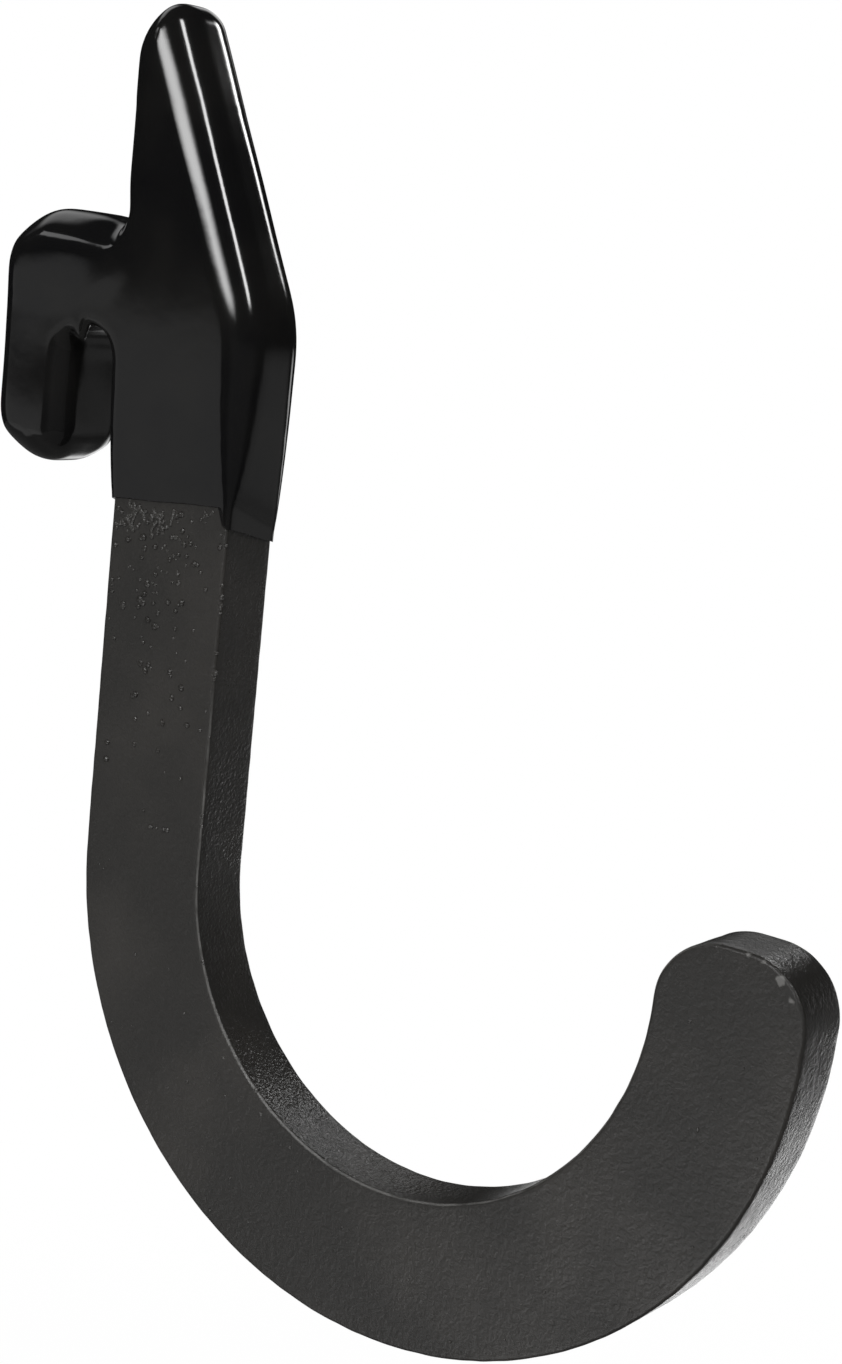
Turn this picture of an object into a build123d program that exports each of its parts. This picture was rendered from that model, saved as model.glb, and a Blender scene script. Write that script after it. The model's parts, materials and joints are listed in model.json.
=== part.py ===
from build123d import *

import os
from math import cos, radians, sin, tan

# Weight rack j-hook: a J cut from steel plate, whose upper end is dipped in a thick soft coating.
# Millimetres. +X points away from the rack, +Z is up, and the plate's mid-plane is Y = 0.
# The origin is the middle of the rack slot's roof, on the coating, where the rack's wall carries the hook.

# The J and its spine
plate_thickness = 9.7  # steel plate with its powder coat
bar_width = 20.3  # width of the bar all along the J
seat_radius = 35.4  # inside radius of the J, where the bar lies
bow_sweep = 178.0  # degrees of arc from the spine to the J's straight end
end_length = 9.9  # the straight end beyond the arc
end_corner_radius = 8.6
seat_drop = 70.2  # from the slot's roof down to the centre of the J
edge_break = 0.5  # small round on the edges of the cut plate

# The spear above the spine
spear_rise = 41.2  # from the slot's roof up to the top of the steel spear
spear_angle = 24.0  # degrees between the spear's slanted front and the vertical
spear_tip_radius = 2.0
shoulder_radius = 20.0  # round where the slanted front meets the spine

# The tab that hooks behind the rack's wall
rack_gap = 7.8  # clear gap between the coated tab and the coated spine
tab_width = 9.0  # steel, away from the spine
tab_drop = 16.9  # from the slot's roof down to the bottom of the steel tab
tab_rise = 14.0  # from the slot's roof up to the top of the steel tab
tab_fall = 0.9  # how much lower the tab's top is at the spear
tab_crown_radius = 6.5  # outer top corner
tab_heel_radius = 5.4  # outer bottom corner
tab_toe_radius = 3.1  # inner bottom corner
tab_root_radius = 3.0  # inside corner between the tab's top and the spear

# The dipped coating
coat_thickness = 1.8
coat_edge_radius = 3.2  # the coating draws back from the plate's edges and rounds them
coat_lip = 0.45  # thickness at the dip line
nose_cover = 3.0  # over the spear's point, where the coating gathers in a dome
dip_drop = 24.0  # from the slot's roof down to the dip line, at the spine's rear and mid-plane
dip_tilt = 20.0  # degrees: the line lies lower on the far side of the plate
dip_lean = 3.5  # degrees: the line climbs towards the spine's front

# Limits: the share of its wall that a corner's round may take, and how near counts as the same place
wall_share = 0.95
same_place = 0.001

# Places that follow from the sizes above
slot_width = rack_gap + 2 * coat_thickness  # between steel and steel
spine_rear = slot_width / 2
spine_front = spine_rear + bar_width
spine_middle = spine_rear + bar_width / 2
tab_inner = -slot_width / 2
tab_outer = tab_inner - tab_width
slot_roof = coat_thickness  # height of the steel above the rack's wall
arch_height = slot_roof - slot_width / 2  # centre of the slot's round roof
tab_root_height = tab_rise - tab_fall
bow_x = spine_front + seat_radius
bow_z = -seat_drop
mean_radius = seat_radius + bar_width / 2
coat_depth = plate_thickness / 2 + coat_thickness  # from the mid-plane to the coating's face
nose_height = spear_rise + nose_cover

# The slanted front touches the circle of the spear's point and runs down to the spine.
lean = radians(spear_angle)
touch_x = spine_rear + spear_tip_radius * (1 + cos(lean))
touch_z = spear_rise - spear_tip_radius * (1 - sin(lean))
apex_z = touch_z + (touch_x - spine_rear) / tan(lean)
shoulder_z = touch_z - (spine_front - touch_x) / tan(lean)
shoulder_foot = shoulder_z - shoulder_radius * tan(lean / 2)  # lower end of the shoulder's round
nose_root = (shoulder_z + spear_rise) / 2  # where the straight spear hands over to the coating's dome
sleeve_top = min(arch_height, shoulder_foot)  # below it the coating on the spine thins out


def coat_front(z):
    """How far forward the coating's slanted front lies at a height."""
    return touch_x + (touch_z - z) * tan(lean) + coat_thickness / cos(lean)


# Rounds that have to fit side by side: on the nose's crest, under the tab and across the J's end
coat_rear = spine_rear - coat_thickness
crest_length = coat_front(nose_height) - coat_rear
crest_turn = (radians(90) - lean) / 2
coat_round = min(coat_edge_radius, wall_share * crest_length / (1 + tan(crest_turn)))
tab_ease = min(1, wall_share * tab_width / (tab_heel_radius + tab_toe_radius))
end_round = min(end_corner_radius, wall_share * end_length, wall_share * bar_width / 2)


def at(x, z):
    """A place in the plate's plane, seen from the front."""
    return Plane.XZ * Pos(x, z)


def corner(sketch, x, z):
    """The vertex of a sketch that lies nearest to a place in the plate's plane."""
    return sketch.vertices().sort_by_distance((x, 0, z))[0]


def outline_face(*points):
    """A flat face in the plate's plane with straight edges between the points."""
    return Plane.XZ * make_face(Polyline(*points, close=True))


def panel(x0, z0, x1, z1):
    """A rectangle in the plate's plane between two opposite corners."""
    return outline_face((x0, z0), (x1, z0), (x1, z1), (x0, z1))


def spine_and_spear():
    """The straight spine and the spear: one slanted edge, a rounded point and an eased shoulder."""
    shape = outline_face(
        (spine_rear, bow_z),
        (spine_rear, apex_z),
        (spine_front, shoulder_z),
        (spine_front, bow_z),
    )
    shape = fillet(corner(shape, spine_rear, apex_z), spear_tip_radius)
    return fillet(corner(shape, spine_front, shoulder_z), shoulder_radius)


def tab():
    """The tab: a neck out of the spine's rear edge and a leg down, round the slot for the rack's wall."""
    shape = outline_face(
        (spine_middle, -tab_drop),
        (tab_outer, -tab_drop),
        (tab_outer, tab_rise),
        (spine_rear, tab_root_height),
        (spine_middle, tab_root_height),
    )
    shape -= panel(tab_inner, -2 * tab_drop, spine_rear, arch_height)
    shape -= at(0, arch_height) * Circle(slot_width / 2)
    shape = fillet(corner(shape, tab_outer, tab_rise), tab_crown_radius)
    shape = fillet(corner(shape, tab_outer, -tab_drop), tab_ease * tab_heel_radius)
    return fillet(corner(shape, tab_inner, -tab_drop), tab_ease * tab_toe_radius)


def upper_outline():
    """Spine, spear and tab in one outline, with the inside corner above the tab filled."""
    shape = spine_and_spear() + tab()
    return fillet(corner(shape, spine_rear, tab_root_height), tab_root_radius)


def bow():
    """The J: the bar's width along an arc, then a short straight end with round corners."""
    arc = CenterArc((bow_x, bow_z), mean_radius, 180, bow_sweep)
    tip = arc @ 1 + (arc % 1) * end_length
    shape = trace(arc, bar_width) + trace(Line(arc @ 1, tip), bar_width)
    ends = shape.vertices().sort_by_distance(tip)[:2]
    return Plane.XZ * fillet(ends, end_round)


def rim_edges(solid, half_depth):
    """The edges round a plate's two broad faces."""
    low, high = half_depth - same_place, half_depth + same_place
    near = solid.edges().filter_by_position(Axis.Y, -high, -low)
    return near + solid.edges().filter_by_position(Axis.Y, low, high)


def edges_off(edges, plane_z):
    """Those of the edges that don't lie flat at a height."""
    kept = []
    for edge in edges:
        box = edge.bounding_box()
        if max(abs(box.min.Z - plane_z), abs(box.max.Z - plane_z)) > same_place:
            kept.append(edge)
    return kept


def hook_plate():
    """The whole hook in steel, with its cut edges broken."""
    blank = extrude(upper_outline() + bow(), plate_thickness / 2, both=True)
    return fillet(rim_edges(blank, plate_thickness / 2), edge_break)


def coat_body():
    """The coating's outside round the tab, the shoulder and the straight part of the spear."""
    outline = offset(upper_outline(), coat_thickness, kind=Kind.ARC)
    outline -= panel(0, 2 * bow_z, 2 * spine_front, sleeve_top)
    outline -= panel(tab_outer, nose_root, spine_front, 2 * apex_z)
    body = extrude(outline, coat_depth, both=True)
    rims = edges_off(edges_off(rim_edges(body, coat_depth), sleeve_top), nose_root)
    return fillet(rims, coat_round)


def coat_nose():
    """The coating's domed end over the spear: round across the plate, with rounded rear and front."""
    straight = nose_height - coat_depth - nose_root
    arch = Pos(0, nose_root + straight / 2) * Rectangle(2 * coat_depth, straight)
    arch += Pos(0, nose_root + straight) * Circle(coat_depth)
    across = extrude(Plane.YZ * arch, 2 * spine_front, both=True)
    side = outline_face(
        (coat_rear, nose_root),
        (coat_front(nose_root), nose_root),
        (coat_front(nose_height), nose_height),
        (coat_rear, nose_height),
    )
    nose = across & extrude(side, coat_depth, both=True)
    faces = nose.faces().sort_by(Axis.X)
    rims = edges_off(faces[0].edges() + faces[-1].edges(), nose_root)
    return fillet(rims, coat_round)


def coat_section(height, cover, radius):
    """The coated spine's section at a height: a rectangle with rounded corners."""
    place = Pos(spine_middle, 0, height)
    return place * RectangleRounded(bar_width + 2 * cover, plate_thickness + 2 * cover, radius)


def coat_sleeve():
    """The coating on the spine below the slot's roof, where it thins out to the dip line."""
    slope_y = tan(radians(dip_tilt))
    slope_x = tan(radians(dip_lean))
    bottom = -dip_drop - coat_depth * slope_y
    sleeve = loft(
        [
            coat_section(bottom, coat_lip, edge_break + coat_lip),
            coat_section(sleeve_top, coat_thickness, coat_round),
        ],
        ruled=True,
    )
    dip = Plane((spine_rear, 0, -dip_drop), x_dir=(1, 0, slope_x), z_dir=(-slope_x, slope_y, 1))
    return split(sleeve, bisect_by=dip, keep=Keep.TOP)


def dip_coat(steel):
    """The coating: a rounded skin round the spear, the tab and the upper spine."""
    return coat_body() + coat_nose() + coat_sleeve() - steel


os.makedirs("parts", exist_ok=True)
steel = hook_plate()
export_step(steel, "parts/hook_plate.step")
export_step(dip_coat(steel), "parts/dip_coat.step")
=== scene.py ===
# %% [markdown]
# A weight rack j-hook, dressed for its portrait
# The hook is one thick steel plate cut to a J and powder coated, and its upper end was dipped in black
# vinyl. The CAD solids stay where they are. This script draws both pieces again in the same place, the
# plate with finer curves and the coat with softer rims. It gives them their finish, adds the small lumps
# in the powder as real geometry, and sets up the camera and the studio light.

# %% Load the frame
import json
from math import ceil, cos, pi, radians, sin, tan

import bmesh
import bpy
import numpy as np
from mathutils import Matrix, Vector, noise as perlin


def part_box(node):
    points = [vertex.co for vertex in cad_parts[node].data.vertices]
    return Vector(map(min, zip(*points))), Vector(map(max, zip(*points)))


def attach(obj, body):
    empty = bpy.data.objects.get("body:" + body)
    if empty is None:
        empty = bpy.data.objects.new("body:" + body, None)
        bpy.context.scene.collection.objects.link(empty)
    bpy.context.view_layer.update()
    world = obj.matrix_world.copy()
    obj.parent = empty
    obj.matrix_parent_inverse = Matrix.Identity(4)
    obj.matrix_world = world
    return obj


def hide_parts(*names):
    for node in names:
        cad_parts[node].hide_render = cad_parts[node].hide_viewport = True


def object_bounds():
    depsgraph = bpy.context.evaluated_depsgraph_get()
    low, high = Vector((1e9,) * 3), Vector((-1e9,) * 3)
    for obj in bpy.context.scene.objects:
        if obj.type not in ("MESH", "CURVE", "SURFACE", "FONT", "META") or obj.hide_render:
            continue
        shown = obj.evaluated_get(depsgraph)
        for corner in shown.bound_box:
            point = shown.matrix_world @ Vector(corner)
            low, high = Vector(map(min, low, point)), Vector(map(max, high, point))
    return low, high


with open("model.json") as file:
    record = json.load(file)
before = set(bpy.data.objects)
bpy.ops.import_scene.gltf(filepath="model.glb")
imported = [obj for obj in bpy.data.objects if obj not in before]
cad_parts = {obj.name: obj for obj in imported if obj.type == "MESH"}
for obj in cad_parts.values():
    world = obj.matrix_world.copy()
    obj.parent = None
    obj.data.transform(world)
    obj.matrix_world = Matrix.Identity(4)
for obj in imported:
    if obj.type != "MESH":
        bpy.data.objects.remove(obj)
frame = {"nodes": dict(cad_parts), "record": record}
cad_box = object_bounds()
scene = bpy.context.scene
mm = 0.001
print("CAD box in mm:", [[round(c / mm, 1) for c in corner] for corner in cad_box])

# %% [markdown]
# Measures of the hook
# These measures are read from the frame, so that the drawing follows the solids. The mount in the J's
# seat gives the centre and the inside radius of the bow. The plate's box gives its thickness and, at the
# lowest point, the bow's outer radius. The spine is the straight bar that rises from the bow.

# %% Measures of the hook
plate_low, plate_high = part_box("hook_plate")
coat_low, coat_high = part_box("dip_coat")
seat = next(m for m in frame["record"]["mounts"] if m["name"] == "bar_seat")
bow_x, _, bow_z = seat["pos_m"]
inner_radius = seat["dims"]["r_mm"] * mm
outer_radius = bow_z - plate_low.z
bar_width = outer_radius - inner_radius
mean_radius = (inner_radius + outer_radius) / 2
plate_half = plate_high.y
spine_x = bow_x - mean_radius
spine_low, spine_high = spine_x - bar_width / 2, spine_x + bar_width / 2
print(f"bar {bar_width / mm:.1f} mm wide, bow {inner_radius / mm:.1f} to {outer_radius / mm:.1f} mm,"
      f" plate {2 * plate_half / mm:.1f} mm, lowest coating at {coat_low.z / mm:.1f} mm")

# %% [markdown]
# Camera
# The photograph was taken from the hook's front right, close by and a little above the middle, with the
# camera rolled a few degrees. The place, the turn and the lens were found by fitting the plate's edges to
# the picture, so they are plain numbers here: an azimuth of 0 looks along +Y. The focal length was found
# in pixels, and Blender's film lies along the picture's longer side, so the photograph's height turns one
# into the other.

# %% Camera
camera_place = Vector((0.23162, -0.26163, 0.01179))
camera_azimuth, camera_elevation, camera_roll = 33.89, 9.24, -5.77
photo_height, focal_pixels = 1364, 2488.6
film_side = 36
nearest_seen = 0.01


def aim(azimuth, elevation):
    """The direction from the object towards a place at an azimuth and an elevation, in degrees."""
    a, e = radians(azimuth), radians(elevation)
    return Vector((sin(a) * cos(e), -cos(a) * cos(e), sin(e)))


camera_data = bpy.data.cameras.new("camera")
camera_data.sensor_width = film_side
camera_data.lens = film_side * focal_pixels / photo_height
camera_data.clip_start = nearest_seen
camera = bpy.data.objects.new("camera", camera_data)
scene.collection.objects.link(camera)
back = aim(camera_azimuth, camera_elevation)
turn = back.to_track_quat("Z", "Y").to_matrix() @ Matrix.Rotation(radians(-camera_roll), 3, "Z")
camera.matrix_world = Matrix.Translation(camera_place) @ turn.to_4x4()
scene.camera = camera
print(f"lens {camera_data.lens:.1f} mm, {camera_place.length:.3f} m from the slot's roof")

# %% [markdown]
# Shared shader groups
# Three effects are used by more than one material, so each is a node group with its own inputs. A cloudy
# tone mixes two colours over a few centimetres. A skin texture gives a height for the Bump node: orange
# peel in the powder coat, a slow ripple in the vinyl. An edge mask finds where the surface turns a lot
# within a given distance. The plate's finely rounded rims hardly show in it, but the small lumps do, and
# it makes them paler. Texture coordinates are the object's own, in metres, so scales are per metre.

# %% Helpers for node trees


def new_group(name, inputs, outputs):
    """An empty shader node group with float or colour sockets, and its input and output nodes."""
    group = bpy.data.node_groups.new(name, "ShaderNodeTree")
    for title, value in inputs.items():
        kind = "NodeSocketFloat" if isinstance(value, (int, float)) else "NodeSocketColor"
        socket = group.interface.new_socket(title, in_out="INPUT", socket_type=kind)
        socket.default_value = value
    for title, kind in outputs.items():
        group.interface.new_socket(title, in_out="OUTPUT", socket_type=kind)
    return group, group.nodes.new("NodeGroupInput"), group.nodes.new("NodeGroupOutput")


def feed(tree, socket, value):
    """Feeds an input from another socket, or sets it to a value."""
    if isinstance(value, bpy.types.NodeSocket):
        tree.links.new(value, socket)
    else:
        socket.default_value = value


def add(tree, kind, links=None, **settings):
    """Adds a node, sets its properties, and feeds its inputs from values or from other sockets."""
    node = tree.nodes.new(kind)
    for key, value in settings.items():
        setattr(node, key, value)
    for key, value in (links or {}).items():
        feed(tree, node.inputs[key], value)
    return node


def math(tree, operation, a, b=0.0, c=0.0):
    """One arithmetic node; returns its output."""
    return add(tree, "ShaderNodeMath", {0: a, 1: b, 2: c}, operation=operation).outputs[0]


def smooth_step(tree, value, low, high):
    """0 up to low, 1 from high on, and a smooth rise between them; low may be the larger of the two."""
    links = {"Value": value, "From Min": low, "From Max": high}
    return add(tree, "ShaderNodeMapRange", links, interpolation_type="SMOOTHSTEP").outputs[0]


def noise(tree, scale, detail=2.0, roughness=0.5):
    """A noise value over the object's own coordinates."""
    place = add(tree, "ShaderNodeTexCoord").outputs["Object"]
    links = {"Vector": place, "Scale": scale, "Detail": detail, "Roughness": roughness}
    return add(tree, "ShaderNodeTexNoise", links).outputs[0]


def blend_colour(tree, factor, a, b):
    """Mixes two colours. Inputs 6 and 7 of the node are its colours, and output 2 is the mix."""
    return add(tree, "ShaderNodeMix", {0: factor, 6: a, 7: b}, data_type="RGBA").outputs[2]


# %% The three groups


def make_cloudy_tone():
    """Slow patches of two colours, with a little grain in them."""
    inputs = {"Deep": (0, 0, 0, 1), "Pale": (1, 1, 1, 1), "Scale": 60.0, "Grain": 0.2}
    outputs = {"Color": "NodeSocketColor", "Mask": "NodeSocketFloat"}
    group, given, made = new_group("cloudy_tone", inputs, outputs)
    slow = smooth_step(group, noise(group, given.outputs["Scale"], detail=3.0), low=0.35, high=0.68)
    fine = noise(group, math(group, "MULTIPLY", given.outputs["Scale"], 45.0), roughness=0.7)
    grain = math(group, "MULTIPLY", math(group, "SUBTRACT", fine, 0.5), given.outputs["Grain"])
    mask = add(group, "ShaderNodeClamp", {0: math(group, "ADD", slow, grain)}).outputs[0]
    colour = blend_colour(group, mask, given.outputs["Deep"], given.outputs["Pale"])
    group.links.new(mask, made.inputs["Mask"])
    group.links.new(colour, made.inputs["Color"])
    return group


def make_skin_texture():
    """A height made of coarse swells and finer peel on top of them."""
    inputs = {"Coarse Scale": 700.0, "Fine Scale": 2600.0, "Fine Share": 0.5}
    group, given, made = new_group("skin_texture", inputs, {"Height": "NodeSocketFloat"})
    coarse = noise(group, given.outputs["Coarse Scale"], detail=1.0)
    fine = noise(group, given.outputs["Fine Scale"], roughness=0.6)
    height = math(group, "MULTIPLY_ADD", fine, given.outputs["Fine Share"], coarse)
    group.links.new(height, made.inputs["Height"])
    return group


def make_edge_mask():
    """1 on convex and concave edges, 0 on flat and gently curved faces, broken up by noise."""
    inputs = {"Width": 0.0006, "Break Scale": 500.0, "Break": 0.5}
    group, given, made = new_group("edge_mask", inputs, {"Mask": "NodeSocketFloat"})
    rounded = add(group, "ShaderNodeBevel", {"Radius": given.outputs["Width"]}, samples=6).outputs[0]
    sharp = add(group, "ShaderNodeNewGeometry").outputs["Normal"]
    compare = add(group, "ShaderNodeVectorMath", {0: rounded, 1: sharp}, operation="DOT_PRODUCT")
    edge = smooth_step(group, math(group, "SUBTRACT", 1.0, compare.outputs["Value"]), low=0.01, high=0.12)
    rough = noise(group, given.outputs["Break Scale"], detail=3.0)
    broken = math(group, "MULTIPLY", rough, given.outputs["Break"])
    mask = add(group, "ShaderNodeClamp", {0: math(group, "SUBTRACT", edge, broken)}).outputs[0]
    group.links.new(mask, made.inputs["Mask"])
    return group


cloudy_tone = make_cloudy_tone()
skin_texture = make_skin_texture()
edge_mask = make_edge_mask()
print("groups:", [g.name for g in bpy.data.node_groups])

# %% [markdown]
# Powder coat
# Powder coat on cut steel is a satin charcoal with a fine orange peel and a slightly cloudy tone. A pale
# painted highlight runs along the bow's inner rim. The hook's end is chipped, and its pale chipped spots
# also paint the highlight of a lamp there. The cut sides are glossier than the broad faces, and inside the
# bow they are sandy. All this could be painted in an image, but masks made from the surface's own place
# and direction follow the shape and stay sharp close by. Which way a point faces tells a broad face, a cut
# side and the round of a rim apart, and its distance from the bow's centre finds the inner side. Grains
# that melted into lumps are the same powder with more gloss.

# %% Where the powder wears off, and where highlights are painted
# Each chipped spot's place in the plate's plane, x and z, and its size, in millimetres; the pale spots are
# partly wear and partly a painted highlight on the end
chip_and_highlight_spots = {(108.6, -62.1): 0.4, (110.9, -62.6): 0.2, (113.1, -64.2): 0.5, (114.9, -66.3): 0.3}
chip_and_highlight_ragged = 1.2 * mm


def distance_to(tree, place):
    """How far a point of the surface lies from a place."""
    where = add(tree, "ShaderNodeTexCoord").outputs["Object"]
    return add(tree, "ShaderNodeVectorMath", {0: where, 1: place}, operation="DISTANCE").outputs["Value"]


def chip_and_highlight_mask(tree):
    """1 on the chipped spots in the front edge of the hook's end, with ragged borders; they are partly wear
    and partly a painted highlight.
    """
    ragged = math(tree, "MULTIPLY", noise(tree, 900.0, detail=3.0), chip_and_highlight_ragged)
    mask = 0.0
    for (x, z), size in chip_and_highlight_spots.items():
        away = math(tree, "ADD", distance_to(tree, (x * mm, -plate_half, z * mm)), ragged)
        chip_and_highlight_spot = smooth_step(tree, away, low=(size + 0.8) * mm, high=(size + 0.5) * mm)
        mask = math(tree, "MAXIMUM", mask, chip_and_highlight_spot)
    return mask


def facing_mask(tree):
    """1 on the plate's two broad faces, 0 on its cut sides, and between them on the round of its rims."""
    facing = add(tree, "ShaderNodeSeparateXYZ", {0: add(tree, "ShaderNodeTexCoord").outputs["Normal"]})
    return math(tree, "ABSOLUTE", facing.outputs["Y"])


def rim_highlight_mask(tree, facing):
    """1 along the middle of a rim's round, broken up by noise, where a painted highlight goes."""
    off_side = smooth_step(tree, facing, low=0.3, high=0.5)
    off_face = smooth_step(tree, facing, low=0.92, high=0.8)
    line = math(tree, "MULTIPLY", off_side, off_face)
    return math(tree, "MULTIPLY", line, smooth_step(tree, noise(tree, 300.0), low=0.2, high=0.6))


def inner_bow_mask(tree):
    """1 near the bow's inner side, 0 from the middle of the bar outwards."""
    reach = distance_to(tree, (bow_x, 0, bow_z))
    return smooth_step(tree, reach, low=mean_radius, high=inner_radius + 2 * mm)


print(len(chip_and_highlight_spots), "chips on the hook's end")

# %% Powder coat
powder_deep, powder_pale = (0.0195, 0.0185, 0.017, 1), (0.03, 0.028, 0.0255, 1)
# The pale rim colour paints a highlight along the bow's inner rim and also shows edge wear; the chipped
# colour is partly a painted highlight on the hook's end.
highlight_and_rub_powder, chip_and_highlight_powder = (0.10, 0.098, 0.094, 1), (0.12, 0.118, 0.113, 1)
edge_rub, cloud_gloss, side_gloss = 0.55, 0.07, 0.1
sand_height, sand_everywhere = 1.5, 0.2


def use(tree, group, **values):
    """Places a node group in a material and sets its inputs by their names, with _ for a space."""
    node = tree.nodes.new("ShaderNodeGroup")
    node.node_tree = group
    for key, value in values.items():
        node.inputs[key.replace("_", " ")].default_value = value
    return node


def new_material(name):
    """A material with an empty Principled shader; returns the material, its tree and the shader."""
    material = bpy.data.materials.new(name)
    material.use_nodes = True
    return material, material.node_tree, material.node_tree.nodes["Principled BSDF"]


def powder_colour(tree, tone, facing, inner):
    """The cloudy charcoal, paler on the lumps, with a painted highlight along the bow's inner rim, and pale
    chipped spots on the end that also paint a highlight.
    """
    edge = use(tree, edge_mask, Width=0.0006, Break_Scale=420.0, Break=1.0)
    # Painted highlight: a pale line along the middle of the bow's inner rim.
    line = math(tree, "MULTIPLY", rim_highlight_mask(tree, facing), inner)
    highlight_and_rub = math(tree, "MAXIMUM", line, math(tree, "MULTIPLY", edge.outputs["Mask"], edge_rub))
    worn_and_highlit = blend_colour(tree, highlight_and_rub, tone.outputs["Color"], highlight_and_rub_powder)
    # Pale chipped spots on the end: partly wear, partly a painted highlight.
    return blend_colour(tree, chip_and_highlight_mask(tree), worn_and_highlit, chip_and_highlight_powder)


def powder_height(tree, side, inner):
    """Orange peel all over, and sand on the cut sides, most of it inside the bow."""
    skin = use(tree, skin_texture, Coarse_Scale=1300.0, Fine_Scale=3600.0, Fine_Share=0.7)
    share = math(tree, "MULTIPLY_ADD", inner, 1 - sand_everywhere, sand_everywhere)
    sandy = math(tree, "MULTIPLY", side, share)
    sand = math(tree, "MULTIPLY", noise(tree, 2400.0, detail=1.0), sandy)
    return math(tree, "MULTIPLY_ADD", sand, sand_height, skin.outputs["Height"])


def make_powder_coat(name, roughness):
    """Charcoal powder whose pale clouds and cut sides are a little glossier than the rest."""
    material, tree, shader = new_material(name)
    tone = use(tree, cloudy_tone, Deep=powder_deep, Pale=powder_pale, Scale=55.0, Grain=0.5)
    facing, inner = facing_mask(tree), inner_bow_mask(tree)
    side = smooth_step(tree, facing, low=0.8, high=0.4)
    tree.links.new(powder_colour(tree, tone, facing, inner), shader.inputs["Base Color"])
    gloss = math(tree, "MULTIPLY_ADD", tone.outputs["Mask"], -cloud_gloss, roughness)
    gloss = math(tree, "MULTIPLY_ADD", side, -side_gloss, gloss)
    tree.links.new(gloss, shader.inputs["Roughness"])
    shader.inputs["Specular IOR Level"].default_value = 0.4
    height = powder_height(tree, side, inner)
    bump = add(tree, "ShaderNodeBump", {"Height": height, "Strength": 0.5, "Distance": 0.00016})
    tree.links.new(bump.outputs[0], shader.inputs["Normal"])
    return material


powder_coat = make_powder_coat("powder_coat", roughness=0.42)
melted_powder = make_powder_coat("melted_powder", roughness=0.27)
print("powder coat nodes:", len(powder_coat.node_tree.nodes))

# %% [markdown]
# Dipped vinyl
# The dip is a thick, glossy black skin. Its colour is nearly black, so what the eye sees is the room
# mirrored in it: the shader needs a low roughness, a faint slow ripple, and some cloudiness in the gloss,
# as from handling.

# %% Dipped vinyl
vinyl_deep, vinyl_pale = (0.0055, 0.0055, 0.0058, 1), (0.009, 0.0088, 0.0084, 1)
vinyl_roughness, vinyl_cloud = 0.08, 0.04


def make_dipped_vinyl():
    """Near-black glossy vinyl, a little duller in the pale clouds."""
    material, tree, shader = new_material("dipped_vinyl")
    tone = use(tree, cloudy_tone, Deep=vinyl_deep, Pale=vinyl_pale, Scale=70.0, Grain=0.3)
    tree.links.new(tone.outputs["Color"], shader.inputs["Base Color"])
    gloss = math(tree, "MULTIPLY_ADD", tone.outputs["Mask"], vinyl_cloud, vinyl_roughness)
    tree.links.new(gloss, shader.inputs["Roughness"])
    skin = use(tree, skin_texture, Coarse_Scale=90.0, Fine_Scale=420.0, Fine_Share=0.12)
    bumps = {"Height": skin.outputs["Height"], "Strength": 0.25, "Distance": 0.0004}
    tree.links.new(add(tree, "ShaderNodeBump", bumps).outputs[0], shader.inputs["Normal"])
    return material


dipped_vinyl = make_dipped_vinyl()
print("vinyl nodes:", len(dipped_vinyl.node_tree.nodes))

# %% [markdown]
# The plate and its powder
# The real plate was cut along smooth arcs. The CAD mesh makes them of short flats, and the eye finds
# their corners along the J. The drawn plate has the same outline, cut from the CAD plate at its
# mid-plane, but each flat becomes a curve that leaves its ends in the outline's own direction. The
# plate's section then runs round that loop: two flat faces, a small round at each rim, and a narrow ring
# inside each rim that keeps the shading of the faces flat. Powder never lies quite even, so the rims
# swell and thin by a few hundredths of a millimetre.

# %% Outline of the plate
same_place = 0.001 * mm
straight_turn = radians(0.1)


def welded_copy(node):
    """An editable copy of a CAD node's mesh whose faces share their corners."""
    shape = bmesh.new()
    shape.from_mesh(frame["nodes"][node].data)
    bmesh.ops.remove_doubles(shape, verts=shape.verts, dist=same_place)
    return shape


def everything(shape):
    """All corners, edges and faces of an editable mesh."""
    return shape.verts[:] + shape.edges[:] + shape.faces[:]


def outline_segments(node):
    """The short straight pieces of a CAD plate's outline at its mid-plane, as (x, z) pairs."""
    shape = welded_copy(node)
    bmesh.ops.bisect_plane(shape, geom=everything(shape), plane_co=(0, 0, 0), plane_no=(0, 1, 0),
                           clear_inner=True, clear_outer=True)
    pieces = [[(v.co.x, v.co.z) for v in edge.verts] for edge in shape.edges]
    shape.free()
    return pieces


def closed_loop(pieces):
    """The pieces chained into one loop, without the points that lie on a straight stretch."""
    links = {}
    for a, b in pieces:
        links.setdefault(a, []).append(b)
        links.setdefault(b, []).append(a)
    chain = list(pieces[0])
    while len(chain) < len(links):
        chain.append(next(point for point in links[chain[-1]] if point != chain[-2]))
    loop = np.array(chain)
    ax, az = (loop - np.roll(loop, 1, 0)).T
    bx, bz = (np.roll(loop, -1, 0) - loop).T
    turn = np.arctan2(ax * bz - az * bx, ax * bx + az * bz)
    bent = loop[np.abs(turn) > straight_turn]
    return bent if turn.sum() > 0 else bent[::-1]


def smooth_loop(loop, step):
    """The loop with points about a step apart, on curves that keep its direction at its own points."""
    ahead = np.roll(loop, -1, 0) - loop
    heading = ahead + np.roll(ahead, 1, 0)
    heading /= np.linalg.norm(heading, axis=1)[:, None]
    stretches = []
    for a, b, u, v, run in zip(loop, loop + ahead, heading, np.roll(heading, -1, 0), ahead):
        length = np.linalg.norm(run)
        s = np.linspace(0, 1, ceil(length / step), endpoint=False)[:, None]
        ends = a * (1 + 2 * s) * (1 - s) ** 2 + b * s * s * (3 - 2 * s)
        stretches.append(ends + length * s * (1 - s) * (u * (1 - s) - v * s))
    return np.concatenate(stretches)


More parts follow.
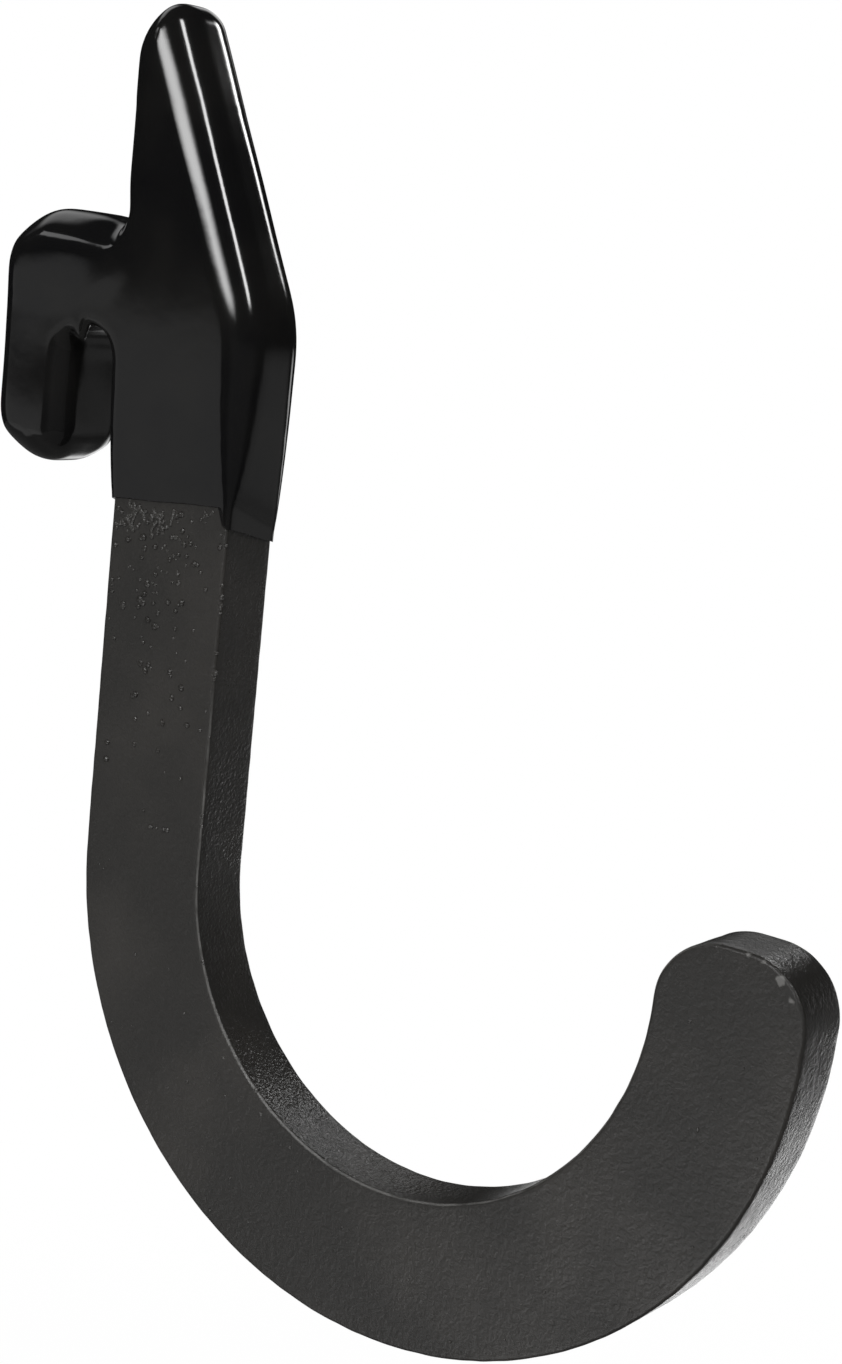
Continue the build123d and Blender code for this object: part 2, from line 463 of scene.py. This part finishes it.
steel_outline = outline_segments("hook_plate")
plate_loop = smooth_loop(closed_loop(steel_outline), step=0.6 * mm)
print(len(steel_outline), "outline pieces became", len(plate_loop), "points")

# %% The plate's section and its sweep
edge_round, flat_ring = 0.5 * mm, 0.35 * mm
round_rows, side_rows = 6, 9
rim_wave, side_wave, wave_scale = 0.06 * mm, 0.6, 420


def plate_section():
    """The section from the front face to the rear: how far in each row lies, its y, and how uneven it is."""
    turns = np.radians(np.linspace(0, 90, round_rows))
    rim = [(edge_round * (1 - sin(a)), edge_round * (1 - cos(a)) - plate_half, 1.0) for a in turns]
    front = [(edge_round + flat_ring, -plate_half, 0.0)] + rim
    side = np.linspace(edge_round - plate_half, plate_half - edge_round, side_rows)[1:-1]
    rear = [(inset, -y, uneven) for inset, y, uneven in reversed(front)]
    return front + [(0.0, y, side_wave) for y in side] + rear


def sweep_plate(loop):
    """Places and faces of the plate: the section's rows round the loop, and the two flat faces."""
    heading = np.roll(loop, -1, 0) - np.roll(loop, 1, 0)
    outward = np.stack([heading[:, 1], -heading[:, 0]], 1) / np.linalg.norm(heading, axis=1)[:, None]
    count = len(loop)
    places, faces = [], []
    for inset, y, uneven in plate_section():
        for (x, z), (nx, nz) in zip(loop, outward):
            shift = rim_wave * uneven * perlin.noise(Vector((x, y, z)) * wave_scale) - inset
            places.append((x + nx * shift, y, z + nz * shift))
    for row in range(0, len(places) - count, count):
        for k in range(count):
            after = (k + 1) % count
            faces.append((row + k, row + count + k, row + count + after, row + after))
    faces.append(range(count))
    faces.append(range(len(places) - 1, len(places) - count - 1, -1))
    return places, faces


def add_object(name, mesh, material):
    """Puts a mesh with one material into the scene, in the frame's own coordinates."""
    mesh.materials.append(material)
    thing = bpy.data.objects.new(name, mesh)
    scene.collection.objects.link(thing)
    return thing


def new_piece(name, places, faces, material):
    """A mesh object with smooth faces."""
    mesh = bpy.data.meshes.new(name)
    mesh.from_pydata([tuple(p) for p in places], [], [tuple(int(i) for i in f) for f in faces])
    mesh.shade_smooth()
    return add_object(name, mesh, material)


steel_plate = new_piece("steel_plate", *sweep_plate(plate_loop), powder_coat)
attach(steel_plate, "root")
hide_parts("hook_plate")
print("steel plate:", len(steel_plate.data.polygons), "faces")

# %% [markdown]
# The vinyl coat as a grown skin
# Liquid vinyl clings to the steel, and surface tension rounds whatever it covers. A bevel of one radius
# can't give that, so the coat is grown as a level set: for each point of a fine grid, how far is it from
# the coat's surface? The steel's outline gives the distance in the plate's plane, blurred a little, which
# is what surface tension does. The coat's thickness and the radius of its rims then vary from zone to
# zone: fat on the spear and the neck of the tab, thin in the slot's roof, and thinner still towards the
# dip line. One drip hangs from the slot's roof. A surface net turns the level set into a mesh.

# %% The dip plane and the slanted front
grid_step = 0.32 * mm


def lowest_flat(node):
    """Middle and normal of a CAD node's lowest face that looks down: the plane of the dip line."""
    polygons = frame["nodes"][node].data.polygons
    faces = [p for p in polygons if p.normal.z < -0.85 and p.center.z < 0.8 * coat_low.z]
    area = sum(p.area for p in faces)
    middle = sum((p.center * p.area for p in faces), Vector()) / area
    return middle, sum((p.normal * p.area for p in faces), Vector()).normalized()


def longest_slant(pieces):
    """A point and the outward normal of the outline's longest slanted piece: the spear's front."""
    slanted = [p for p in pieces if min(abs(p[1][0] - p[0][0]), abs(p[1][1] - p[0][1])) > 5 * mm]
    (ax, az), (bx, bz) = max(slanted, key=lambda p: (Vector(p[1]) - Vector(p[0])).length)
    normal = Vector((bz - az, ax - bx)).normalized()
    return Vector((ax, az)), normal if normal.x > 0 else -normal


slant_place, slant_normal = longest_slant(steel_outline)
dip_middle, dip_normal = lowest_flat("dip_coat")
print("dip line at", [round(c / mm, 1) for c in dip_middle],
      "facing", [round(c, 2) for c in dip_normal], "slant facing", [round(c, 2) for c in slant_normal])

# %% Distance to the outline


def axis_points(low, high, margin):
    """Evenly spaced grid points from a little below low to a little above high."""
    return np.arange(low - margin, high + margin, grid_step)


def distance_map(xs, zs, pieces):
    """Signed distance in the plate's plane from each grid point to the outline: negative inside."""
    x, z = np.meshgrid(xs, zs, indexing="ij")
    nearest = np.full(x.shape, np.inf)
    inside = np.zeros(x.shape, bool)
    for (ax, az), (bx, bz) in pieces:
        ex, ez = bx - ax, bz - az
        share = np.clip(((x - ax) * ex + (z - az) * ez) / (ex * ex + ez * ez), 0, 1)
        nearest = np.minimum(nearest, np.hypot(x - ax - share * ex, z - az - share * ez))
        crosses = (az > z) != (bz > z)
        inside ^= crosses & (x < ax + (z - az) * ex / (ez or 1))
    return np.where(inside, -nearest, nearest)


def blur(field, sigma):
    """A Gaussian blur along every axis, with the field's edge values carried on outside."""
    reach = int(3 * sigma / grid_step)
    offsets = np.arange(-reach, reach + 1)
    weights = np.exp(-0.5 * (offsets * grid_step / sigma) ** 2)
    weights /= weights.sum()
    for axis in range(field.ndim):
        pads = [(reach, reach) if a == axis else (0, 0) for a in range(field.ndim)]
        padded = np.pad(field, pads, mode="edge")
        length = field.shape[axis]
        field = sum(w * np.take(padded, np.arange(k, k + length), axis) for k, w in enumerate(weights))
    return field


roof_gap = distance_map(np.zeros(1), np.zeros(1), steel_outline).item()
print(f"the steel over the slot lies {roof_gap / mm:.2f} mm above the origin")

# %% How thick and how round the coat is
lip_cover, least_cover, roof_cover = 0.42 * mm, 0.25 * mm, 1.0 * mm
face_cover, tab_cover, front_cover = 2.05 * mm, 1.95 * mm, 2.8 * mm
lip_round, rear_round, front_round = 0.8 * mm, 2.4 * mm, 5.8 * mm
tab_round, crown_round, roof_round = 3.4 * mm, 5.2 * mm, 1.1 * mm
tip_rear_round, tip_front_round, steel_round = 8.6 * mm, 3.4 * mm, 0.5 * mm
thin_reach, round_reach = 11 * mm, 12 * mm
nose_top, nose_root = coat_high.z + 0.8 * mm, 0.75 * plate_high.z
crease_x, crease_z = spine_low - 1.5 * mm, 15 * mm
crease_reach, crease_drain = 4 * mm, 0.8 * mm
neck_swell, neck_shift = 0.55 * mm, 4 * mm
tension = 0.5 * mm
wave_height, tab_waves = 0.012 * mm, 4


def ease(values, low, high):
    """0 below low, 1 above high, with a smooth rise between, for arrays."""
    share = np.clip((values - low) / (high - low), 0, 1)
    return share * share * (3 - 2 * share)


def between(a, b, share):
    """The value that lies a share of the way from a to b."""
    return a + (b - a) * share


def fade(above, reach):
    """1 up to the dip plane, and fading out over a reach above it."""
    return np.exp(-np.maximum(above, 0) / reach)


def coat_zones(x, z, forward, upward):
    """How far a point is in each zone, from 0 to 1: spine, its front, tab's crown, slot's roof, neck."""
    spine = ease(x - neck_shift * ease(z, 3 * mm, 9 * mm), -1.5 * mm, 4 * mm)
    ahead = np.maximum(spine * ease(forward, -0.6, 0.6), ease(z, 8 * mm, 24 * mm))
    ends = np.maximum(ease(z, 0, 8 * mm), ease(-z, 6 * mm, 12 * mm))
    crown = (1 - spine) * ease(np.abs(upward), 0.45, 0.95) * ends
    roof = ease(-upward, 0.2, 0.8) * ease(z, -8 * mm, -3 * mm)
    neck = (1 - ease(x, -6 * mm, 10 * mm)) * ease(z, 1 * mm, 12 * mm)
    return spine, ahead, crown, roof, neck


def coat_rounding(above, spine, ahead, crown, roof):
    """The radius of the coat's rims."""
    rounding = tab_round + (rear_round - tab_round) * spine + (crown_round - tab_round) * crown
    rounding = between(rounding, front_round, ahead)
    rounding = between(rounding, roof_round, roof)
    return between(lip_round, rounding, 1 - spine * fade(above, round_reach))


def coat_covers(x, z, thick, spine, ahead, roof, neck):
    """How thick the coat is on the broad faces and on the cut sides, less what drained out of the crease."""
    cover = between(lip_cover, face_cover, thick)
    side = cover + (tab_cover - face_cover) * (1 - spine) + (front_cover - face_cover) * thick * ahead
    crease = np.hypot(x - crease_x, z - crease_z) / crease_reach
    side = side - crease_drain * np.exp(-crease * crease)
    return cover + neck_swell * neck, between(side, roof_cover, roof)


print(f"coat {lip_cover / mm:.2f} mm at the dip line, {face_cover / mm:.2f} mm on the faces,"
      f" {front_cover / mm:.2f} mm on the slanted front")

# %% The nose and the drip
tongue_x, tongue_z, tongue_top = -0.8 * mm, -2.0 * mm, 3 * mm
tongue_left, tongue_right = radians(38), radians(72)
tongue_round, tongue_gap = 0.5 * mm, 0.7 * mm


def rounded_corner(a, b, rounding):
    """How far points lie outside two sides at once, from how far outside each, with a round between."""
    a, b = a + rounding, b + rounding
    return np.hypot(np.maximum(a, 0), np.maximum(b, 0)) + np.minimum(np.maximum(a, b), 0) - rounding


def nose_outline(x, z):
    """The dome over the spear's point, in the plate's plane: rounder at the rear than in front."""
    rear = spine_low - front_cover - x
    slant = (x - slant_place.x) * slant_normal.x + (z - slant_place.y) * slant_normal.y - front_cover
    return rounded_corner(rounded_corner(rear, z - nose_top, tip_rear_round), slant, tip_front_round)


def tongue_outline(x, y, z):
    """The drip that hangs from the slot's roof: a pointed tongue in the layer in front of the plate."""
    across, up = x - tongue_x, z - tongue_z
    left = -across * sin(tongue_left) - up * cos(tongue_left)
    right = across * sin(tongue_right) - up * cos(tongue_right)
    flat = np.maximum(rounded_corner(left, right, tongue_round), z - tongue_top)
    return np.maximum(flat, y + plate_half + tongue_gap)


def ripple(x, y, z):
    """Two crossing waves that keep the gloss from looking machined."""
    return np.sin(z / (2.6 * mm) + y / (1.9 * mm)) + np.sin(z / (4.3 * mm) - x / (3.1 * mm))


print(f"nose up to {nose_top / mm:.1f} mm, drip down to about {tongue_z / mm:.1f} mm")

# %% The coat's field


def coat_field(xs, ys, zs):
    """How far each grid point lies outside the coat, which covers the steel everywhere by a least amount."""
    x, y, z = xs[:, None, None], ys[None, :, None], zs[None, None, :]
    steel_flat = distance_map(xs, zs, steel_outline)
    flat = blur(steel_flat, tension)
    forward, upward = (slope[:, None, :] for slope in np.gradient(flat, grid_step))
    flat, steel_flat = flat[:, None, :], steel_flat[:, None, :]
    above = sum(n * (m - p) for n, m, p in zip(dip_normal, dip_middle, (x, y, z)))
    spine, ahead, crown, roof, neck = coat_zones(x, z, forward, upward)
    thick = 1 - spine * fade(above, thin_reach)
    face, side = coat_covers(x, z, thick, spine, ahead, roof, neck)
    rounding = coat_rounding(above, spine, ahead, crown, roof)
    outline = np.where(z > nose_root, nose_outline(x, z), flat - side)
    outline = np.minimum(outline, tongue_outline(x, y, z))
    waves = wave_height * ripple(x, y, z) * thick * between(tab_waves, 1, spine)
    coat = rounded_corner(np.abs(y) - plate_half - face, outline, rounding) + waves
    steel = rounded_corner(np.abs(y) - plate_half, steel_flat, steel_round)
    return np.minimum(coat, steel - least_cover)


margin = 2 * mm
xs = axis_points(coat_low.x, coat_high.x, margin)
ys = axis_points(coat_low.y, coat_high.y, margin)
zs = axis_points(coat_low.z - 2 * margin, coat_high.z, margin)
field = coat_field(xs, ys, zs)
print("grid of", field.shape, "points,", int((field < 0).sum()), "of them inside the coat")

# %% Surface net


def surface_net(field, origin):
    """Vertices and quads of the field's zero level: one vertex in each cell that the surface crosses."""
    inside = field < 0
    cells = tuple(n - 1 for n in field.shape)
    corners = [(i, j, k) for i in (0, 1) for j in (0, 1) for k in (0, 1)]

    def at_corner(values, corner):
        return values[tuple(slice(c, c + n) for c, n in zip(corner, cells))]

    total, count = np.zeros(cells + (3,)), np.zeros(cells)
    for a in corners:
        for axis in range(3):
            if a[axis]:
                continue
            b = tuple(c + (k == axis) for k, c in enumerate(a))
            fa, fb = at_corner(field, a), at_corner(field, b)
            crossed = (fa < 0) != (fb < 0)
            share = np.where(crossed, fa / np.where(crossed, fa - fb, 1), 0)
            for k in range(3):
                total[..., k] += crossed * (a[k] + (share if k == axis else 0))
            count += crossed
    active = count > 0
    number = np.full(cells, -1)
    number[active] = np.arange(active.sum())
    places = np.argwhere(active) + total[active] / count[active][:, None]
    return origin + places * grid_step, net_quads(inside, number)


def net_quads(inside, number):
    """One quad round each grid edge that crosses the surface, by the numbers of the four cells there."""
    quads = []
    step = np.eye(3, dtype=int)
    for axis in range(3):
        u, v = (axis + 1) % 3, (axis + 2) % 3
        low = inside[tuple(slice(0, -1) if k == axis else slice(1, -1) for k in range(3))]
        high = inside[tuple(slice(1, None) if k == axis else slice(1, -1) for k in range(3))]
        for leaves in (True, False):
            found = np.argwhere((low != high) & (low == leaves)) + (1 - step[axis])
            ring = [found - step[u] - step[v], found - step[v], found, found - step[u]]
            ring = ring if leaves else ring[::-1]
            quads.append(np.stack([number[tuple(r.T)] for r in ring], axis=1))
    return np.concatenate(quads)


def relax(places, quads, rounds):
    """Moves each vertex half way to the middle of its neighbours, some rounds over."""
    pairs = np.concatenate([quads[:, [k, (k + 1) % 4]] for k in range(4)])
    pairs = np.unique(np.sort(pairs, axis=1), axis=0)
    links = np.bincount(pairs.ravel(), minlength=len(places))[:, None]
    for _ in range(rounds):
        middle = np.zeros_like(places)
        np.add.at(middle, pairs[:, 0], places[pairs[:, 1]])
        np.add.at(middle, pairs[:, 1], places[pairs[:, 0]])
        places = 0.5 * places + 0.5 * middle / links
    return places


places, quads = surface_net(field, np.array([xs[0], ys[0], zs[0]]))
places = relax(places, quads, rounds=5)
print(len(places), "vertices,", len(quads), "quads")

# %% [markdown]
# The coat's lower edge and its inside
# Where the hook left the bath, the vinyl ends in a line across the spine that waves a little, with a drip
# down the front. The grown skin is cut there by one plane: the mesh is first lifted by the sag of the
# line, cut flat, closed, and let down again. Taking the steel out of it leaves a shell round the plate.
# How thick the real coat is was judged.

# %% The coat's lower edge
drip_length, drip_slope, drip_width = 2.0 * mm, 0.16, 1.2 * mm
line_wave = 0.05 * mm


def sag(place):
    """How far below the dip plane the coat's edge hangs: a drip ran down the front, and the line waves."""
    drip = (drip_length - drip_slope * place.y) * float(ease(place.x, spine_high - drip_width, spine_high))
    return drip + line_wave * (sin(place.x / (1.7 * mm)) + sin(place.y / (1.3 * mm)))


def cut_off_below(piece, middle, normal):
    """Cuts the mesh along the sagging dip line, drops the side the normal points to, and closes the cut."""
    shape = bmesh.new()
    shape.from_mesh(piece.data)
    for vertex in shape.verts:
        vertex.co.z += sag(vertex.co)
    cut = bmesh.ops.bisect_plane(shape, geom=everything(shape), plane_co=middle, plane_no=normal,
                                 clear_outer=True)
    edges = [e for e in cut["geom_cut"] if isinstance(e, bmesh.types.BMEdge)]
    hub = shape.verts.new(middle)
    for edge in edges:
        shape.faces.new((hub, *edge.verts))
    for vertex in shape.verts:
        vertex.co.z -= sag(vertex.co)
    bmesh.ops.recalc_face_normals(shape, faces=shape.faces)
    shape.to_mesh(piece.data)
    shape.free()


vinyl_coat = new_piece("vinyl_coat", places, quads, dipped_vinyl)
cut_off_below(vinyl_coat, dip_middle, dip_normal)
print("vinyl coat:", len(vinyl_coat.data.polygons), "faces before it is hollowed out")

# %% The coat as a shell
sharp_turn = radians(35)


def mesh_from(name, shape):
    """A mesh made from an editable mesh, which is then freed."""
    mesh = bpy.data.meshes.new(name)
    shape.to_mesh(mesh)
    shape.free()
    return mesh


def hollow_out(piece, node):
    """Takes a CAD solid out of a piece, so that the piece is a skin round it."""
    cutter = bpy.data.objects.new("cutter", mesh_from("cutter", welded_copy(node)))
    scene.collection.objects.link(cutter)
    cut = piece.modifiers.new("hollow", "BOOLEAN")
    cut.operation, cut.solver, cut.object = "DIFFERENCE", "MANIFOLD", cutter
    hollow = bpy.data.meshes.new_from_object(piece.evaluated_get(bpy.context.evaluated_depsgraph_get()))
    piece.modifiers.remove(cut)
    piece.data = hollow
    bpy.data.objects.remove(cutter)


hollow_out(vinyl_coat, "hook_plate")
vinyl_coat.data.set_sharp_from_angle(angle=sharp_turn)
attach(vinyl_coat, "root")
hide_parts("dip_coat")
print("vinyl coat:", len(vinyl_coat.data.polygons), "faces")

# %% [markdown]
# Lumps in the powder coat
# Small glossy lumps crowd the powder coat just below the dip line, and a few more lie scattered down the
# spine, along its front rim and round the bow. They look like grains that melted together. They throw
# real highlights and shadows, so each one is a small flattened ball that sits on the face, not a bump in
# the material. A few rows of them make the short wrinkles right under the coat. The generator has a seed,
# so they lie the same every time.

# %% Where the lumps lie
draw = np.random.default_rng(11)
front, rear = -plate_half, plate_half
rim_margin = 1 * mm
rim_sink = 0.15 * mm


def dip_height(x, y):
    """Height of the dip line at a place on the plate."""
    drop = dip_normal.x * (x - dip_middle.x) + dip_normal.y * (y - dip_middle.y)
    return dip_middle.z - drop / dip_normal.z


def spine_lumps(y, count):
    """Lumps on a broad face of the spine: many just below the dip line, fewer further down."""
    x = draw.normal(spine_x - 0.5 * mm, 5 * mm, count)
    x = np.clip(x, spine_low + rim_margin, spine_high - rim_margin)
    down = np.minimum(draw.exponential(13 * mm, count), 44 * mm) + 0.6 * mm
    size = draw.uniform(0.18, 0.5, count) * mm
    return [(Vector((a, y, dip_height(a, y) - d)), s) for a, d, s in zip(x, down, size)]


def bow_lumps(y, count):
    """Small lumps scattered over a broad face of the bow."""
    angle = radians(180) + draw.uniform(0, pi, count)
    reach = draw.uniform(inner_radius + rim_margin, outer_radius - rim_margin, count)
    size = draw.uniform(0.12, 0.26, count) * mm
    return [(Vector((bow_x + r * cos(a), y, bow_z + r * sin(a))), s) for a, r, s in zip(angle, reach, size)]


def rim_lumps(y, count):
    """Lumps on the rim along the inner side of spine and bow, fewer the further they are from the coat."""
    straight = dip_height(spine_high, y) - bow_z
    reach = inner_radius + rim_sink
    found = []
    for run in draw.exponential(28 * mm, count):
        angle = pi + max(run - straight, 0) / inner_radius
        x, z = bow_x + reach * cos(angle), bow_z + reach * sin(angle) + max(straight - run, 0)
        found.append((Vector((x, y + rim_sink, z)), draw.uniform(0.2, 0.42) * mm))
    return found


def wrinkle(y):
    """A short bent row of lumps right under the coat."""
    x = draw.uniform(spine_low + 2 * mm, spine_low + 11 * mm)
    place = Vector((x, y, dip_height(x, y) - draw.uniform(0.5, 3.6) * mm))
    heading, bend = draw.uniform(0, 2 * pi), draw.uniform(-0.3, 0.3)
    row = []
    for _ in range(draw.integers(5, 11)):
        row.append((place.copy(), draw.uniform(0.24, 0.38) * mm))
        place += Vector((cos(heading), 0, sin(heading))) * 0.28 * mm
        heading += bend
    return row


lumps = {side: spine_lumps(side, count=150) + bow_lumps(side, count=36) for side in (front, rear)}
lumps[front] += rim_lumps(front, count=16)
for side, count in ((front, 14), (rear, 8)):
    for _ in range(count):
        lumps[side] += wrinkle(side)
print({round(side / mm, 2): len(found) for side, found in lumps.items()}, "lumps")

# %% The lumps as one piece
lump_wide, lump_high = (0.8, 1.3), (0.5, 0.75)


def add_lump(shape, place, size):
    """A flattened, slightly uneven ball, half sunk in the face."""
    stretch = Vector([size * draw.uniform(*spread) for spread in (lump_wide, lump_high, lump_wide)])
    spot = Matrix.LocRotScale(place, Matrix.Rotation(draw.uniform(0, pi), 3, "Y"), stretch)
    bmesh.ops.create_icosphere(shape, subdivisions=2, radius=1, matrix=spot)


def make_powder_lumps():
    """All lumps as one piece, because they are one powder."""
    shape = bmesh.new()
    for found in lumps.values():
        for place, size in found:
            add_lump(shape, place, size)
    mesh = mesh_from("powder_lumps", shape)
    mesh.shade_smooth()
    return add_object("powder_lumps", mesh, melted_powder)


powder_lumps = make_powder_lumps()
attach(powder_lumps, "root")
print("powder lumps:", len(powder_lumps.data.polygons), "triangles")

# %% [markdown]
# Floor and background
# The hook hangs in the air in the picture, on white. The pale floor lies some way below it and fades into
# the white world at its rim. For rays that the camera sends out it glows white, so that it looks white
# without more light on the object, and a diffuse share still takes the object's shadow. In mirror images
# it is dim, because a white floor would fill the underside of the glossy coat.

# %% Floor
floor_drop, floor_radius = 0.6, 2.1
floor_mirrored = 0.1
least_glow = 0.96
paper_colour = (0.86, 0.86, 0.855, 1)


def seen_directly(tree):
    """1 for camera, glossy and transmission rays, 0 for the rays that light other surfaces."""
    path = add(tree, "ShaderNodeLightPath")
    seen = math(tree, "MAXIMUM", path.outputs["Is Camera Ray"], path.outputs["Is Glossy Ray"])
    return math(tree, "MAXIMUM", seen, path.outputs["Is Transmission Ray"])


def make_floor_paper():
    """Pale paper: a diffuse part that takes shadow, and a glow for the rays that look at it."""
    material = bpy.data.materials.new("floor_paper")
    material.use_nodes = True
    tree = material.node_tree
    tree.nodes.remove(tree.nodes["Principled BSDF"])
    rim = smooth_step(tree, distance_to(tree, (0, 0, 0)), low=0.2 * floor_radius, high=0.8 * floor_radius)
    glossy = add(tree, "ShaderNodeLightPath").outputs["Is Glossy Ray"]
    glowing = math(tree, "MULTIPLY_ADD", rim, 1 - least_glow, least_glow)
    share = math(tree, "MAXIMUM", math(tree, "MULTIPLY", seen_directly(tree), glowing), glossy)
    strength = math(tree, "MULTIPLY_ADD", glossy, floor_mirrored - 1.0, 1.0)
    paper = add(tree, "ShaderNodeBsdfDiffuse", {"Color": paper_colour})
    glow = add(tree, "ShaderNodeEmission", {"Color": (1, 1, 1, 1), "Strength": strength})
    mixed = add(tree, "ShaderNodeMixShader", {0: share, 1: paper.outputs[0], 2: glow.outputs[0]})
    tree.links.new(mixed.outputs[0], tree.nodes["Material Output"].inputs["Surface"])
    return material


def make_floor():
    """A round sheet of paper below the hook."""
    shape = bmesh.new()
    bmesh.ops.create_circle(shape, cap_ends=True, radius=floor_radius, segments=96)
    floor = add_object("floor", mesh_from("floor", shape), make_floor_paper())
    floor.location = ((cad_box[0].x + cad_box[1].x) / 2, 0, cad_box[0].z - floor_drop)
    return floor


floor = make_floor()
print(f"floor at {floor.location.z / mm:.0f} mm")

# %% World
ambient = 0.2


def make_world():
    """White where it is looked at, and a dim even light everywhere else."""
    world = bpy.data.worlds.new("white_room")
    world.use_nodes = True
    tree = world.node_tree
    shine = tree.nodes["Background"]
    shine.inputs["Color"].default_value = (1, 1, 1, 1)
    level = math(tree, "MULTIPLY_ADD", seen_directly(tree), 1 - ambient, ambient)
    tree.links.new(level, shine.inputs["Strength"])
    scene.world = world


make_world()
scene.view_settings.view_transform = "Standard"
print(f"world: white to look at, {ambient} as a light")

# %% [markdown]
# Studio light
# A black glossy thing is lit by what it mirrors, so each lamp is placed for the highlight that it makes.
# A wide softbox in front and a narrow one at the right draw the bright lines down the spear, and strips
# behind draw its far rim and the shine inside the bow. Dim panels and cards give the flat faces something
# grey to mirror, and the low panel lights the J's broad face. A flag keeps a lamp off one piece, as in a
# product studio. A tent of black cloth round the set keeps the rest of the white room out of the mirror
# images, and shades nothing.

# %% Softboxes
target = Vector((0.03, 0, 0.0))
lamp_distance = 0.9


def soften(data, border):
    """Lets a lamp fade out towards its border, over a share of its width, as a softbox's cloth does."""
    data.use_nodes = True
    tree = data.node_tree
    across = add(tree, "ShaderNodeNewGeometry").outputs["Parametric"]
    place = add(tree, "ShaderNodeSeparateXYZ", {0: across})
    level = 1.0
    for axis in range(2):
        off_middle = math(tree, "ABSOLUTE", math(tree, "SUBTRACT", place.outputs[axis], 0.5))
        inward = math(tree, "SUBTRACT", 0.5, off_middle)
        level = math(tree, "MULTIPLY", level, smooth_step(tree, inward, low=0.0, high=border))
    tree.links.new(level, tree.nodes["Emission"].inputs["Strength"])


def softbox(name, azimuth, elevation, wide, tall, radiance, border=0.1):
    """A lamp that faces the object from a direction, with its angular size in degrees and its brightness."""
    data = bpy.data.lights.new(name, "AREA")
    data.shape = "RECTANGLE"
    data.size, data.size_y = (2 * lamp_distance * tan(radians(angle) / 2) for angle in (wide, tall))
    data.energy = radiance * pi * data.size * data.size_y
    soften(data, border)
    lamp = bpy.data.objects.new(name, data)
    away = aim(azimuth, elevation)
    lamp.location = target + lamp_distance * away
    lamp.rotation_mode = "QUATERNION"
    lamp.rotation_quaternion = away.to_track_quat("Z", "Y")
    lamp.visible_camera = False
    scene.collection.objects.link(lamp)
    print(f"{name}: {data.size:.2f} by {data.size_y:.2f} m, {data.energy:.1f} W")
    return lamp


def keep_off(lamp, piece):
    """Keeps a lamp's light off one piece, as a flag on a stand does."""
    flag = bpy.data.collections.new(lamp.name + "_flag")
    flag.objects.link(piece)
    flag.collection_objects[0].light_linking.link_state = "EXCLUDE"
    lamp.light_linking.receiver_collection = flag


# %% The lamps
softbox("front_softbox", -1, 22, wide=44, tall=26, radiance=13, border=0.4)
softbox("right_softbox", 65, 42, wide=10, tall=36, radiance=20, border=0.3)
softbox("left_panel", -105, 42, wide=50, tall=32, radiance=1.1, border=0.3)
softbox("left_strip", -51, 28, wide=24, tall=8, radiance=2)
rear_strip = softbox("rear_strip", 167, 30, wide=14, tall=22, radiance=14.5, border=0.35)
keep_off(rear_strip, steel_plate)
bow_strip = softbox("bow_strip", 180, 38, wide=12, tall=16, radiance=13.5, border=0.3)
keep_off(bow_strip, vinyl_coat)
softbox("rear_panel", 205, 26, wide=28, tall=28, radiance=1.2, border=0.3)
low_panel = softbox("low_panel", -8, -38, wide=40, tall=24, radiance=4.2, border=0.3)
keep_off(low_panel, vinyl_coat)
softbox("left_card", -48, -18, wide=36, tall=34, radiance=0.37, border=0.12)
softbox("right_card", 132, -11, wide=58, tall=30, radiance=0.26, border=0.35)
softbox("back_card", 192, -28, wide=60, tall=28, radiance=3, border=0.35)
softbox("room_card", 40, -9, wide=100, tall=34, radiance=0.07, border=0.3)
softbox("back_slit", 172, -6, wide=16, tall=14, radiance=1.8, border=0.3)

# %% Black tent
tent_radius, tent_opening = 2.2, 0.4
cloth_colour = (0.02, 0.02, 0.02, 1)


def make_black_tent():
    """A dome of black cloth, open below, that only mirror images see."""
    cloth, _, shader = new_material("black_cloth")
    shader.inputs["Base Color"].default_value = cloth_colour
    shader.inputs["Roughness"].default_value = 1.0
    shape = bmesh.new()
    bmesh.ops.create_uvsphere(shape, u_segments=48, v_segments=24, radius=tent_radius)
    low = [v for v in shape.verts if v.co.z < -tent_opening * tent_radius]
    bmesh.ops.delete(shape, geom=low, context="VERTS")
    tent = add_object("black_tent", mesh_from("black_tent", shape), cloth)
    for ray in ("camera", "diffuse", "transmission", "shadow", "volume_scatter"):
        setattr(tent, "visible_" + ray, False)
    return tent


black_tent = make_black_tent()
print("black tent:", len(black_tent.data.polygons), "faces")
